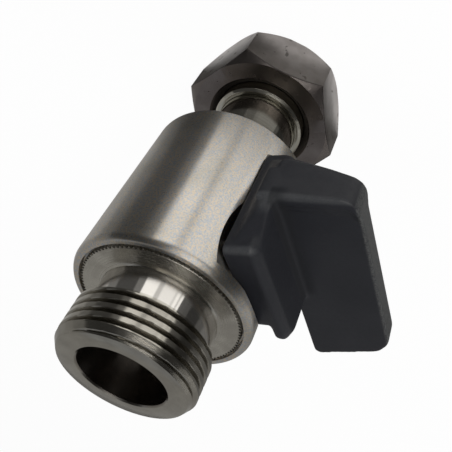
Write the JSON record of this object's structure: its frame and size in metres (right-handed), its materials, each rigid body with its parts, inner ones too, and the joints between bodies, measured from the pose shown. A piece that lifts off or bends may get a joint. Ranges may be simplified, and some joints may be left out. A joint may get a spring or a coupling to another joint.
{
  "type": "beer tap",
  "caption": "In-line stainless beer tap with a male outlet, a loose union nut at its inlet and a black quarter-turn lever.",
  "frame": {"origin": "centre of the male end's flat sealing face, on the flow axis", "axes": "+Z along the flow, out of the male end; +X along the stem, out through the lever; +Y towards the lever's short end while the tap is closed"},
  "size_m": [0.0532, 0.0503, 0.0865],
  "materials": {
    "body_steel": "satin turned",
    "polished_steel": "polished",
    "nut_steel": "pitted matt",
    "black_plastic": "fine matt grain",
    "ptfe": "matt",
    "rubber": "matt"
  },
  "bodies": {
    "body": {"valve_body": "body_steel", "outlet_connector": "body_steel", "tailpiece": "polished_steel", "union_gasket": "ptfe", "seat_front": "ptfe", "seat_rear": "ptfe", "connector_o_ring": "rubber", "tail_o_ring": "rubber", "stop_pin": "body_steel"},
    "lever": {"lever": "black_plastic", "stem": "polished_steel", "stem_thrust_washer": "ptfe", "stem_o_ring_lower": "rubber", "stem_o_ring_upper": "rubber", "ball": "polished_steel"},
    "slip_ring": {"slip_ring": "polished_steel"},
    "union_nut": {"union_nut": "nut_steel"}
  },
  "joints": [
    {"name": "lever_turn", "type": "hinge", "parent": "body", "child": "lever", "pos_m": [0, 0, -0.0338], "axis": [-1, 0, 0], "range_deg": [0, 90]},
    {"name": "slip_ring_slide", "type": "slide", "parent": "body", "child": "slip_ring", "axis": [0, 0, 1], "range_m": [0, 0.0185]},
    {"name": "union_nut_spin", "type": "hinge", "parent": "slip_ring", "child": "union_nut", "pos_m": [0, 0, -0.08], "axis": [0, 0, 1], "continuous": true}
  ]
}
